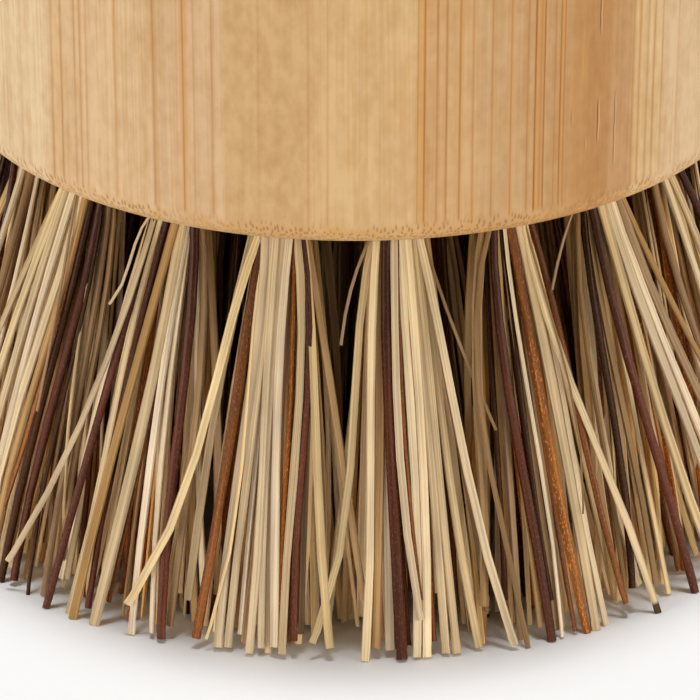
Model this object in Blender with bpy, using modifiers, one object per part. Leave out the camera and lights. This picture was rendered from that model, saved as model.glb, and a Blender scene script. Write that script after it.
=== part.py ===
"""Round hand brush for pots: one turned bamboo body, drilled with flared holes, and in each
hole a tuft of plant fibre folded over a flat steel anchor.

Lengths are in metres, +Z is up and the brush stands on its bristle tips. The origin is on
the brush's axis, on the surface that the tips stand on. The row's front is -Y.
"""
import math
import random

import bmesh
import bpy
from mathutils import Matrix, Vector

MM = 0.001
UP = Vector((0.0, 0.0, 1.0))

# Bamboo body, from the bristle face up to the top of the knob.
BRISTLE_HEIGHT = 24.2 * MM      # from the standing surface to the bristle face
HEAD_RADIUS = 25.0 * MM
HEAD_WALL_HEIGHT = 18.0 * MM    # straight wall between the face's round and the shoulder's
FACE_ROUND = 2.0 * MM
SHOULDER_ROUND = 5.0 * MM
NECK_RADIUS = 14.5 * MM
NECK_HOLLOW = 6.0 * MM          # radius of the hollow that the fingers take
KNOB_RADIUS = 21.0 * MM
KNOB_ROUND = 8.0 * MM
BODY_STEPS = 40
ARC_STEP = math.radians(18)

# Drilled holes. Every ring leans outwards, in proportion to its radius.
HOLE_RADIUS = 2.0 * MM
HOLE_DEPTH = 9.0 * MM
RIM_MARGIN = 0.5 * MM           # wood between the outer holes and the face's round
TIP_OVERHANG = 1.6 * MM         # how far past the head's wall the outer tufts' middles land
RINGS = (                       # name, number of tufts, angle of the first tuft in degrees
    ("outer", 20, 6.8),
    ("middle", 12, 15.8),
    ("inner", 6, 30.8),
    ("centre", 1, 0.0),
)
DRILL_SIDES = 8
OVERRUN = 2.0 * MM              # how far a cutter passes the face that it opens
MERGE_DISTANCE = 0.01 * MM      # a turned profile's points on the axis become one

# Tufts: a packed root in the hole, and strands that fan out below the face.
FIT_GAP = 0.3 * MM              # clearance between pieces that seat in each other
STRANDS_PER_TUFT = 11
STRAND_WIDTH = 0.6 * MM
STRAND_SIDES = 3
STRAND_EMBED = 1.2 * MM         # how far a strand starts inside the packed root
ROOT_SHOW = 0.8 * MM            # how far the packed root stands out of the face
ROOT_SWELL = 0.1 * MM           # how much wider the root is where it stands out
ROOT_FOLD = 1.1 * MM            # rounding of the fold at the hole's bottom
ROOT_SIDES = 8
TIP_GAP = 0.5 * MM              # between the strand tips of neighbouring tufts
TRIM_DEPTH = 0.5 * MM           # taken off the long strands where the brush is cut flat
SHORTEST_TRIM = 1.4 * MM        # how far the shortest strands end above the surface
SHORT_STRANDS_SHARE = 0.36
GOLDEN_ANGLE = math.pi * (3 - math.sqrt(5))

# Flat steel anchors, driven across the fold and biting into the hole's wall.
ANCHOR_BITE = 0.4 * MM
ANCHOR_HEIGHT = 2.0 * MM
ANCHOR_THICKNESS = 0.4 * MM
ANCHOR_BELOW_FOLD = 1.2 * MM    # fibre between the anchor and the end of the fold
RINGS_WITH_OWN_ANCHORS = ("outer",)

# Worked out from the sizes above.
OUTER_RING_RADIUS = HEAD_RADIUS - FACE_ROUND - RIM_MARGIN - HOLE_RADIUS
FLARE = (HEAD_RADIUS + TIP_OVERHANG) / OUTER_RING_RADIUS
ROOT_RADIUS = HOLE_RADIUS - FIT_GAP
ROOT_TOP = HOLE_DEPTH - FIT_GAP
STRAND_RADIUS = STRAND_WIDTH / (2 * math.sin(math.pi / STRAND_SIDES))
ANCHOR_MIDDLE = ROOT_TOP - ANCHOR_BELOW_FOLD - FIT_GAP - ANCHOR_HEIGHT / 2
ANCHOR_SIZE = (2 * (HOLE_RADIUS + ANCHOR_BITE), ANCHOR_THICKNESS, ANCHOR_HEIGHT)


def clear_scene():
    """Removes the objects of the file that the script starts in."""
    for obj in list(bpy.data.objects):
        bpy.data.objects.remove(obj)


def new_collection(name):
    """A collection in the scene."""
    collection = bpy.data.collections.new(name)
    bpy.context.scene.collection.children.link(collection)
    return collection


def principled(name, colour, roughness, metallic=0.0):
    """A material with a Principled BSDF."""
    material = bpy.data.materials.new(name)
    material.use_nodes = True
    shader = material.node_tree.nodes["Principled BSDF"]
    shader.inputs["Base Color"].default_value = (*colour, 1.0)
    shader.inputs["Roughness"].default_value = roughness
    shader.inputs["Metallic"].default_value = metallic
    return material


def place(name, mesh, collection, frame=None):
    """A new object that holds mesh, at frame."""
    obj = bpy.data.objects.new(name, mesh)
    collection.objects.link(obj)
    obj.matrix_world = frame or Matrix.Identity(4)
    return obj


def place_helper(name, mesh, collection, frame=None):
    """An object that only cuts or joins others: it isn't a piece of the brush."""
    obj = place(name, mesh, collection, frame)
    obj.hide_render = True
    obj.display_type = "WIRE"
    return obj


def mesh_of(bm, name, material=None):
    """The mesh that bm holds, which is freed."""
    mesh = bpy.data.meshes.new(name)
    bm.to_mesh(mesh)
    bm.free()
    if material:
        mesh.materials.append(material)
    return mesh


def profile_mesh(name, points, material):
    """An open line of edges through points (radius, height), for a Screw modifier."""
    mesh = bpy.data.meshes.new(name)
    edges = [(i, i + 1) for i in range(len(points) - 1)]
    mesh.from_pydata([(radius, 0.0, height) for radius, height in points], edges, [])
    mesh.materials.append(material)
    return mesh


def turn(obj, steps):
    """Turns the profile of obj about its own Z axis."""
    screw = obj.modifiers.new("turned", "SCREW")
    screw.steps = screw.render_steps = steps
    screw.use_merge_vertices = True
    screw.merge_threshold = MERGE_DISTANCE
    screw.use_smooth_shade = True


def boolean(obj, other, operation, name):
    """Cuts or joins obj with another object."""
    modifier = obj.modifiers.new(name, "BOOLEAN")
    modifier.operation = operation
    modifier.object = other
    modifier.solver = "EXACT"
    return modifier


def arc(centre, radius, start, end):
    """Points of an arc about centre (radius, height), from angle start to angle end."""
    steps = max(2, round(abs(end - start) / ARC_STEP))
    angles = [start + (end - start) * i / steps for i in range(steps + 1)]
    return [(centre[0] + radius * math.cos(a), centre[1] + radius * math.sin(a)) for a in angles]


def body_outline():
    """The turned outline, as (radius, height above the bristle face), top to bottom.

    Shoulder, neck and knob are three arcs that run into each other: two centres lie as far
    apart as their radii add up to, and the arcs meet on the line between them.
    """
    shoulder = (HEAD_RADIUS - SHOULDER_ROUND, FACE_ROUND + HEAD_WALL_HEIGHT)
    neck_out = NECK_RADIUS + NECK_HOLLOW
    reach = SHOULDER_ROUND + NECK_HOLLOW
    neck = (neck_out, shoulder[1] + math.sqrt(reach ** 2 - (neck_out - shoulder[0]) ** 2))
    knob_out = KNOB_RADIUS - KNOB_ROUND
    reach = NECK_HOLLOW + KNOB_ROUND
    knob = (knob_out, neck[1] + math.sqrt(reach ** 2 - (neck_out - knob_out) ** 2))

    to_neck = math.atan2(neck[1] - shoulder[1], neck[0] - shoulder[0])
    from_knob = math.atan2(neck[1] - knob[1], neck[0] - knob[0])
    points = [(0.0, knob[1] + KNOB_ROUND)]
    points += arc(knob, KNOB_ROUND, math.pi / 2, from_knob)
    points += arc(neck, NECK_HOLLOW, from_knob + math.pi, to_neck + math.pi)[1:]
    points += arc(shoulder, SHOULDER_ROUND, to_neck, 0.0)[1:]
    points += arc((HEAD_RADIUS - FACE_ROUND, FACE_ROUND), FACE_ROUND, 0.0, -math.pi / 2)
    points += [(0.0, 0.0)]
    return points


def ring_radius(ring):
    """Radius of a ring of holes at the bristle face: the rings share the face evenly."""
    return OUTER_RING_RADIUS * (1 - ring / (len(RINGS) - 1))


def ring_lean(ring):
    """How far the holes and tufts of a ring lean outwards, from the vertical."""
    return math.atan2((FLARE - 1) * ring_radius(ring), BRISTLE_HEIGHT)


def hole_frames():
    """(ring, number in it, frame) of each hole. A frame's origin is the middle of the hole's
    mouth, its Z axis runs up the hole, and its X axis points away from the brush's axis."""
    frames = []
    for ring, (_, count, first) in enumerate(RINGS):
        for number in range(count):
            turned = Matrix.Rotation(math.radians(first) + 2 * math.pi * number / count, 4, "Z")
            moved = Matrix.Translation((ring_radius(ring), 0.0, BRISTLE_HEIGHT))
            leaned = Matrix.Rotation(-ring_lean(ring), 4, "Y")
            frames.append((ring, number, turned @ moved @ leaned))
    return frames


def add_box(bm, size, centre, frame=None):
    """Adds a box of size (x, y, z) about centre, in frame."""
    shape = Matrix.Translation(centre) @ Matrix.Diagonal((*size, 1.0))
    bmesh.ops.create_cube(bm, size=1.0, matrix=(frame or Matrix.Identity(4)) @ shape)


def anchor_box(bm, gap=0.0, frame=None):
    """Adds the box of an anchor, grown by gap on every side."""
    size = tuple(side + 2 * gap for side in ANCHOR_SIZE)
    add_box(bm, size, Vector((0.0, 0.0, ANCHOR_MIDDLE)), frame)


def drills_mesh():
    """All the drilled holes: each a prism, with its flats at the hole's radius, from below
    the face to the hole's bottom. The anchor's ends meet two of its flats."""
    bm = bmesh.new()
    corner_radius = HOLE_RADIUS / math.cos(math.pi / DRILL_SIDES)
    flats_to_anchor = Matrix.Rotation(math.pi / DRILL_SIDES, 4, "Z")
    middle = Matrix.Translation((0.0, 0.0, (HOLE_DEPTH - OVERRUN) / 2))
    for _, _, frame in hole_frames():
        bmesh.ops.create_cone(bm, cap_ends=True, segments=DRILL_SIDES, radius1=corner_radius,
                              radius2=corner_radius, depth=HOLE_DEPTH + OVERRUN,
                              matrix=frame @ middle @ flats_to_anchor)
    return mesh_of(bm, "drills")


def anchor_seats_mesh():
    """The pockets that the anchors' ends take in the walls of the holes."""
    bm = bmesh.new()
    for _, _, frame in hole_frames():
        anchor_box(bm, FIT_GAP, frame)
    return mesh_of(bm, "anchor_seats")


def make_body(parts, helpers, material):
    """The turned bamboo body, drilled for its tufts."""
    body = place("bamboo_body", profile_mesh("body_outline", body_outline(), material), parts,
                 Matrix.Translation((0.0, 0.0, BRISTLE_HEIGHT)))
    turn(body, BODY_STEPS)
    drills = place_helper("drills", drills_mesh(), helpers)
    boolean(body, drills, "DIFFERENCE", "drilled").use_self = True
    seats = place_helper("anchor_seats", anchor_seats_mesh(), helpers)
    boolean(body, seats, "DIFFERENCE", "anchor_seats").use_self = True
    return body


def root_outline():
    """The packed root in its hole, from the fold down to where it stands out of the face."""
    return [
        (0.0, ROOT_TOP),
        (ROOT_RADIUS - ROOT_FOLD, ROOT_TOP),
        (ROOT_RADIUS, ROOT_TOP - ROOT_FOLD),
        (ROOT_RADIUS, 0.0),
        (ROOT_RADIUS + ROOT_SWELL, -ROOT_SHOW),
        (0.0, -ROOT_SHOW),
    ]


def tip_spread():
    """Radius that a tuft's tips fan out to. Neighbouring fans stay TIP_GAP apart."""
    around = [2 * math.pi * FLARE * ring_radius(i) / count
              for i, (_, count, _) in enumerate(RINGS[:-1])]
    across = FLARE * (ring_radius(0) - ring_radius(1))
    return (min(*around, across) - TIP_GAP) / 2 - STRAND_RADIUS


def strand_ends(ring, phase, chance):
    """(root, tip, height of its end over the surface) of each strand of a tuft, in the frame
    of its hole.

    The roots lie on a sunflower spiral in the hole, and the tips on the same spiral spread
    wider, so no two strands cross.
    """
    length = BRISTLE_HEIGHT / math.cos(ring_lean(ring))
    root_spread = ROOT_RADIUS * math.cos(math.pi / ROOT_SIDES) - STRAND_RADIUS
    ends = []
    for i in range(STRANDS_PER_TUFT):
        out = math.sqrt((i + 0.5) / STRANDS_PER_TUFT)
        turned = phase + i * GOLDEN_ANGLE
        across = Vector((out * math.cos(turned), out * math.sin(turned), 0.0))
        root = across * root_spread
        tip = across * tip_spread() - Vector((0.0, 0.0, length))
        height = -TRIM_DEPTH
        if chance.random() < SHORT_STRANDS_SHARE:
            height = SHORTEST_TRIM * chance.random()
        ends.append((root, tip, height))
    return ends


def strands_mesh(ring, frame, number, chance):
    """The strands of one tuft, in the frame of its hole, cut flat by the standing surface."""
    bm = bmesh.new()
    to_hole = frame.inverted()
    for root, tip, height in strand_ends(ring, number * GOLDEN_ANGLE, chance):
        along = (tip - root).normalized()
        start = root - along * STRAND_EMBED
        start_height = (frame @ start).z
        fall = start_height - (frame @ (start + along)).z
        end = start + along * ((start_height - height) / fall)
        aim = UP.rotation_difference(-along).to_matrix().to_4x4()
        bmesh.ops.create_cone(bm, cap_ends=True, segments=STRAND_SIDES, radius1=STRAND_RADIUS,
                              radius2=STRAND_RADIUS, depth=(end - start).length,
                              matrix=Matrix.Translation((start + end) / 2) @ aim)
    bmesh.ops.bisect_plane(bm, geom=bm.verts[:] + bm.edges[:] + bm.faces[:],
                           plane_co=to_hole.translation, plane_no=to_hole.to_3x3() @ -UP,
                           clear_outer=True)
    bmesh.ops.holes_fill(bm, edges=[edge for edge in bm.edges if edge.is_boundary])
    return mesh_of(bm, "strands")


def make_tuft(name, ring, number, frame, meshes, parts, helpers, chance):
    """One tuft: the packed root joined to its strands, with a window for the anchor, or in
    the inner rings with the anchor itself."""
    tuft = place(name, meshes["root"], parts, frame)
    turn(tuft, ROOT_SIDES)
    own_anchor = RINGS[ring][0] in RINGS_WITH_OWN_ANCHORS
    mesh = meshes["window"] if own_anchor else meshes["anchor"]
    box = place_helper(f"{name}_anchor_box", mesh, helpers, frame)
    boolean(tuft, box, "DIFFERENCE" if own_anchor else "UNION", "anchor")
    strands = place_helper(f"{name}_strands", strands_mesh(ring, frame, number, chance),
                           helpers, frame)
    boolean(tuft, strands, "UNION", "strands")
    return tuft


def anchor_mesh(name, material, gap=0.0):
    """An anchor's box as a mesh, in the frame of its hole."""
    bm = bmesh.new()
    anchor_box(bm, gap)
    return mesh_of(bm, name, material)


def main():
    clear_scene()
    parts = new_collection("pot_brush")
    helpers = new_collection("cutters")
    bamboo = principled("bamboo", (0.72, 0.47, 0.24), 0.5)
    fibre = principled("union_fibre", (0.68, 0.50, 0.26), 0.55)
    steel = principled("anchor_steel", (0.60, 0.60, 0.58), 0.35, 1.0)
    meshes = {
        "root": profile_mesh("root_outline", root_outline(), fibre),
        "window": anchor_mesh("anchor_window", fibre, FIT_GAP),
        "anchor": anchor_mesh("anchor", steel),
    }
    stand = bpy.data.objects.new("brush_axis", None)
    parts.objects.link(stand)
    made = [make_body(parts, helpers, bamboo)]
    for ring, number, frame in hole_frames():
        ring_name, count, _ = RINGS[ring]
        label = ring_name if count == 1 else f"{ring_name}_{number + 1:02d}"
        chance = random.Random(f"{ring} {number}")
        made.append(make_tuft(f"tuft_{label}", ring, number, frame, meshes, parts, helpers,
                              chance))
        if ring_name in RINGS_WITH_OWN_ANCHORS:
            made.append(place(f"anchor_{label}", meshes["anchor"], parts, frame))
    for obj in made:
        obj.parent = stand
    return made


if __name__ == "__main__":
    main()
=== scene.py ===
"""Round pot brush of turned bamboo with flared tufts of plant fibre, dressed for its picture.

Lengths are in metres in the part's frame: +Z is up, the brush stands on its tips at z = 0, and
-Y is the side that the camera looks at. Finishes work in millimetres.
"""
import logging
import math
from dataclasses import dataclass
from enum import Enum

import bpy
import numpy as np
from bpy.types import Material, Mesh, Object
from mathutils import Matrix, Vector


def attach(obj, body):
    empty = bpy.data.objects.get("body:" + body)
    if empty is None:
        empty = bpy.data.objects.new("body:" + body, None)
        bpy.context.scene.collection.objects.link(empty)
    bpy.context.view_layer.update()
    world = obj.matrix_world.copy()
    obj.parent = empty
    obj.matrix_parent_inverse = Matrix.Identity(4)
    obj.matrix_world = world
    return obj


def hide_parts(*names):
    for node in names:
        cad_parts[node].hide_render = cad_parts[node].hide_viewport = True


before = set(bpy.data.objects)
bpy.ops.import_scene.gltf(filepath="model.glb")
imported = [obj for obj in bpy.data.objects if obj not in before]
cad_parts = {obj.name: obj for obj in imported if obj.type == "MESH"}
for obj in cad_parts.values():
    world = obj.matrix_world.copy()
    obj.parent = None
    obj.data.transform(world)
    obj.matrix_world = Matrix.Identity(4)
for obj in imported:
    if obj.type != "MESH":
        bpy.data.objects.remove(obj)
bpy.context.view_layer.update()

MM = 0.001
LOG = logging.getLogger("pot_brush")
Pair = tuple[float, float]
Triple = tuple[float, float, float]
Colour = Triple


def linear(colour: Colour) -> Colour:
    """Turns a screen colour, 0 to 255, into the linear light that shaders take, 0 to 1."""
    shares = (value / 255 for value in colour)
    return tuple(s / 12.92 if s <= 0.04045 else ((s + 0.055) / 1.055) ** 2.4 for s in shares)


def unit(vectors: np.ndarray) -> np.ndarray:
    """Vectors in the last axis, each brought to length 1."""
    return vectors / np.linalg.norm(vectors, axis=-1, keepdims=True)


def placed(name: str, data: bpy.types.ID) -> Object:
    """Makes an object of data and puts it in the scene."""
    made = bpy.data.objects.new(name, data)
    bpy.context.scene.collection.objects.link(made)
    return made


def round_walls(rows: int, steps: int) -> np.ndarray:
    """Four-sided faces between rows of points, where each row closes round an axis."""
    row, step = np.meshgrid(np.arange(rows - 1), np.arange(steps), indexing="ij")
    after = (step + 1) % steps
    return np.stack([row * steps + step, (row + 1) * steps + step,
                     (row + 1) * steps + after, row * steps + after], -1).reshape(-1, 4)


class Wire:
    """A socket's value in shader maths. An operator on it adds the node that works it out."""

    def __init__(self, graph: "Graph", socket: bpy.types.NodeSocket) -> None:
        """Wraps a socket of a graph's node tree."""
        self.graph = graph
        self.socket = socket

    def maths(self, operation: str, *values: "Wire | float") -> "Wire":
        """Applies one Math node. Values are its second and third input."""
        return self.graph.node("ShaderNodeMath", {"operation": operation},
                               dict(enumerate((self, *values))))

    def vectors(self, operation: str, *values: "Wire | Triple", output: str = "Vector") -> "Wire":
        """Applies one Vector Math node. Values are its second and third input."""
        return self.graph.node("ShaderNodeVectorMath", {"operation": operation},
                               dict(enumerate((self, *values))), output)

    def __add__(self, other: "Wire | float") -> "Wire":
        """Adds."""
        return self.maths("ADD", other)

    def __sub__(self, other: "Wire | float") -> "Wire":
        """Subtracts other."""
        return self.maths("SUBTRACT", other)

    def __rsub__(self, other: float) -> "Wire":
        """Subtracts from other."""
        return (self * -1.0) + other

    def __mul__(self, other: "Wire | float") -> "Wire":
        """Multiplies."""
        return self.maths("MULTIPLY", other)

    __radd__ = __add__

    def magnitude(self) -> "Wire":
        """The value without its sign."""
        return self.maths("ABSOLUTE")

    def above(self, level: float) -> "Wire":
        """1 where the value is above level, else 0."""
        return self.maths("GREATER_THAN", level)

    def rise(self, start: float, end: float) -> "Wire":
        """A smooth step from 0 at start to 1 at end, which may lie below start."""
        return self.graph.node("ShaderNodeMapRange", {"interpolation_type": "SMOOTHSTEP"},
                               {0: self, 1: start, 2: end})

    def stretch(self, factors: Triple) -> "Wire":
        """A vector times factors, axis by axis."""
        return self.vectors("MULTIPLY", factors)

    def shade(self, factor: "Wire | float") -> "Wire":
        """A colour made lighter or darker by a factor."""
        return self.graph.node("ShaderNodeVectorMath", {"operation": "SCALE"},
                               {0: self, "Scale": factor})

    def parts(self) -> tuple["Wire", "Wire", "Wire"]:
        """The vector's three numbers."""
        split = self.graph.node("ShaderNodeSeparateXYZ", {}, {0: self})
        return tuple(Wire(self.graph, socket) for socket in split.socket.node.outputs)


class Graph:
    """A material and its node tree, built call by call."""

    def __init__(self, name: str) -> None:
        """Starts a material with a Principled shader."""
        self.material = bpy.data.materials.new(name)
        self.material.use_nodes = True
        self.tree = self.material.node_tree
        self.shader = self.tree.nodes["Principled BSDF"]

    def node(self, kind: str, settings: dict[str, object], inputs: dict[int | str, object],
             output: int | str = 0) -> Wire:
        """Adds a node.

        Args:
            kind: the node's type.
            settings: its settings. "stops" gives a ramp's positions and colours.
            inputs: a value or Wire for each socket, by its number or name.
            output: the socket to return.

        Returns:
            The chosen output.
        """
        node = self.tree.nodes.new(kind)
        for name, value in settings.items():
            if name != "stops":
                setattr(node, name, value)
        for number, (position, colour) in enumerate(settings.get("stops", ())):
            elements = node.color_ramp.elements
            stop = elements[number] if number < 2 else elements.new(position)
            stop.position = position
            stop.color = (*colour, 1.0)
        for name, value in inputs.items():
            if isinstance(value, Wire):
                self.tree.links.new(value.socket, node.inputs[name])
            else:
                node.inputs[name].default_value = value
        return Wire(self, node.outputs[output])

    def spot(self) -> Wire:
        """The place on the object, in millimetres."""
        return self.node("ShaderNodeTexCoord", {}, {}, "Object").stretch((1 / MM,) * 3)

    def blend(self, share: Wire, first: Wire | Colour, second: Wire | Colour) -> Wire:
        """Mixes two colours, each a Wire or linear: the first at share 0, the second at 1."""
        colours = [c if isinstance(c, Wire) else (*c, 1.0) for c in (first, second)]
        return self.node("ShaderNodeMix", {"data_type": "RGBA"},
                         {0: share, 6: colours[0], 7: colours[1]}, 2)

    def relief(self, height: Wire, depth: float, strength: float) -> Wire:
        """A surface normal with relief, where a height of 1 is depth metres."""
        return self.node("ShaderNodeBump", {},
                         {"Strength": strength, "Distance": depth, "Height": height})

    def finish(self, **sockets: Wire | float | Colour) -> Material:
        """Connects the shader.

        Args:
            sockets: a value or Wire for each of the shader's sockets, with _ for a space.

        Returns:
            The material.
        """
        for name, value in sockets.items():
            socket = self.shader.inputs[name.replace("_", " ")]
            if isinstance(value, Wire):
                self.tree.links.new(value.socket, socket)
            else:
                socket.default_value = (*value, 1.0) if isinstance(value, tuple) else value
        return self.material


@dataclass(frozen=True)
class Noise:
    """Soft noise round 0.5: how many times it repeats in a unit of each axis, how many finer
    layers it has and, where it is sharpened, the levels between which it rises from 0 to 1."""

    repeats: Triple
    layers: float = 1.0
    levels: Pair | None = None

    def at(self, where: Wire) -> Wire:
        """The noise at a vector."""
        noise = where.graph.node("ShaderNodeTexNoise", {}, {
            "Vector": where.stretch(self.repeats), "Scale": 1.0, "Detail": self.layers})
        return noise.rise(*self.levels) if self.levels else noise


@dataclass(frozen=True)
class PhotoView:
    """The camera, where the photograph was taken from, and its picture in pixels."""

    place: Triple = (-0.25 * MM, -251.9 * MM, 132.9 * MM)
    pitch: float = math.radians(26.85)
    focal: float = 4450.0
    picture: float = 700.0
    sensor: float = 36.0
    nearest: float = 5 * MM

    def build(self) -> None:
        """Makes the camera and gives it to the scene."""
        data = bpy.data.cameras.new("photo_view")
        data.sensor_width = self.sensor
        data.lens = self.focal / self.picture * self.sensor
        data.clip_start = self.nearest
        camera = placed("photo_view", data)
        camera.location = self.place
        camera.rotation_euler = (math.pi / 2 - self.pitch, 0.0, 0.0)
        bpy.context.scene.camera = camera

    def rays(self, pixels: np.ndarray) -> np.ndarray:
        """The direction through each pixel, given as x and y from the picture's upper left
        corner: forward, plus its distance from the middle over the focal length."""
        side = (pixels[..., 0] - self.picture / 2) / self.focal
        up = (self.picture / 2 - pixels[..., 1]) / self.focal
        sine, cosine = math.sin(self.pitch), math.cos(self.pitch)
        return np.stack([side, cosine + up * sine, -sine + up * cosine], -1)

    def on_cone(self, pixels: np.ndarray, foot: float, slope: float) -> np.ndarray:
        """Where the lines through pixels first meet a cone round the brush's axis.

        Args:
            pixels: x and y of each.
            foot: the cone's radius at z = 0.
            slope: how much the radius changes with each metre up.

        Returns:
            The points, from the quadratic that a line's distance from the axis gives, or the
            nearest approach where a line passes the cone.
        """
        ray = self.rays(pixels)
        start = np.array(self.place)
        rim = foot + slope * start[2]
        square = ray[..., 0] ** 2 + ray[..., 1] ** 2 - (slope * ray[..., 2]) ** 2
        half = start[0] * ray[..., 0] + start[1] * ray[..., 1] - slope * ray[..., 2] * rim
        rest = start[0] ** 2 + start[1] ** 2 - rim ** 2
        root = np.sqrt(np.maximum(half ** 2 - square * rest, 0.0))
        return start + ray * ((-half - root) / square)[..., None]


@dataclass(frozen=True)
class Softbox:
    """A square softbox that points at the brush's head: its name, its bearing in degrees from
    the camera's side, its height in degrees above the floor, its distance and width in metres,
    its power in watts, its light's colour and the height of what it points at."""

    name: str
    bearing: float
    rise: float
    distance: float
    side: float
    power: float
    colour: Colour
    aim: float = 25 * MM

    def build(self) -> None:
        """Makes the lamp."""
        data = bpy.data.lights.new(self.name, "AREA")
        data.color = self.colour
        data.size = self.side
        data.energy = self.power
        bearing, rise = math.radians(self.bearing), math.radians(self.rise)
        away = Vector((math.sin(bearing) * math.cos(rise), -math.cos(bearing) * math.cos(rise),
                       math.sin(rise)))
        lamp = placed(self.name, data)
        lamp.location = Vector((0.0, 0.0, self.aim)) + away * self.distance
        lamp.rotation_euler = away.to_track_quat("Z", "Y").to_euler()


WARM_FILL: Colour = (1.0, 0.955, 0.86)
NEUTRAL: Colour = (0.98, 1.0, 1.05)


@dataclass(frozen=True)
class Studio:
    """A plain pale floor with plain soft studio light: neutral from above, warm fill, and a
    pale horizon that fades upwards. The sky's stops are sines of the height and colours."""

    reach: float = 1.5
    colour: Colour = linear((248, 250, 251))
    cloud: Noise = Noise((9.0, 9.0, 9.0), 3.0)
    cloud_share: float = 0.97
    roughness: float = 0.7
    sky: tuple[tuple[float, Colour], ...] = (
        (0.10, (0.80, 0.785, 0.75)), (0.26, (0.10, 0.08, 0.055)),
    )
    lamps: tuple[Softbox, ...] = (
        Softbox("overhead_softbox", 180.0, 83.4, 2.15, 0.33, 36.2, NEUTRAL),
        Softbox("left_softbox", -60.0, 11.0, 2.0, 1.12, 15.0, WARM_FILL),
        Softbox("right_softbox", 60.0, 11.0, 2.0, 1.12, 15.0, WARM_FILL),
    )

    def build_floor(self) -> None:
        """Makes the floor, of paper that is slightly uneven in tone."""
        mesh = bpy.data.meshes.new("studio_floor")
        r = self.reach
        mesh.from_pydata([(-r, -r, 0), (r, -r, 0), (r, r, 0), (-r, r, 0)], [], [(0, 1, 2, 3)])
        floor = placed("studio_floor", mesh)
        graph = Graph("pale_paper")
        cloud = self.cloud.at(graph.node("ShaderNodeTexCoord", {}, {}, "Object"))
        dusk = tuple(share * self.cloud_share for share in self.colour)
        mesh.materials.append(graph.finish(Base_Color=graph.blend(cloud, self.colour, dusk),
                                           Roughness=self.roughness))

    def build_sky(self) -> None:
        """Makes the sky."""
        world = bpy.data.worlds.new("studio")
        world.use_nodes = True
        tree = world.node_tree
        direction = tree.nodes.new("ShaderNodeTexCoord")
        height = tree.nodes.new("ShaderNodeSeparateXYZ")
        fade = tree.nodes.new("ShaderNodeValToRGB")
        for stop, (position, colour) in zip(fade.color_ramp.elements, self.sky):
            stop.position = position
            stop.color = (*colour, 1.0)
        tree.links.new(direction.outputs["Generated"], height.inputs[0])
        tree.links.new(height.outputs["Z"], fade.inputs[0])
        tree.links.new(fade.outputs[0], tree.nodes["Background"].inputs[0])
        bpy.context.scene.world = world

    def build(self) -> None:
        """Makes the floor, the sky and the lamps."""
        self.build_floor()
        self.build_sky()
        for lamp in self.lamps:
            lamp.build()
        bpy.context.scene.view_settings.view_transform = "Standard"


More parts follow.
